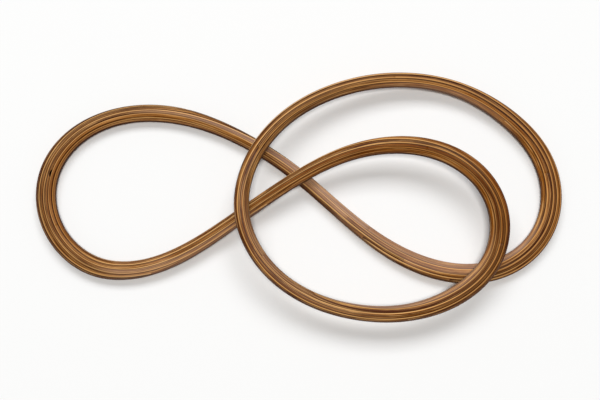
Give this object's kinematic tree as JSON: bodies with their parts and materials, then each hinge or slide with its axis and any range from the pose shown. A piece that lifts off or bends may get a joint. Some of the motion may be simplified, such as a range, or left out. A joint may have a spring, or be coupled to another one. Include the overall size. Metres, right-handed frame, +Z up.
{
  "type": "laminated wooden loop",
  "caption": "Closed free-form loop of bent laminated wood strips: a wide ring, an inner loop and a side lobe that cross over each other and rest on a table.",
  "frame": {"origin": "middle of the bounding box, on the surface that the loop rests on", "axes": "+Z up; +X from the side lobe towards the ring; +Y from the front of the ring to its back"},
  "size_m": [0.557, 0.2716, 0.0481],
  "materials": {
    "light_wood": "satin oiled",
    "mid_wood": "satin oiled",
    "dark_wood": "satin oiled"
  },
  "bodies": {
    "root": {"coil_strip_01": "mid_wood", "coil_strip_02": "mid_wood", "coil_strip_03": "mid_wood", "coil_strip_04": "light_wood", "coil_strip_05": "light_wood", "coil_strip_06": "light_wood", "coil_strip_07": "light_wood", "coil_strip_08": "light_wood", "coil_strip_09": "dark_wood", "coil_strip_10": "dark_wood", "coil_strip_11": "mid_wood", "coil_strip_12": "mid_wood", "coil_strip_13": "mid_wood", "coil_strip_14": "mid_wood", "coil_strip_15": "light_wood", "coil_strip_16": "light_wood", "coil_strip_17": "light_wood", "lobe_inner_filler": "mid_wood", "lobe_outer_filler": "light_wood", "ring_inner_filler": "light_wood", "ring_outer_filler": "dark_wood"}
  },
  "joints": []
}
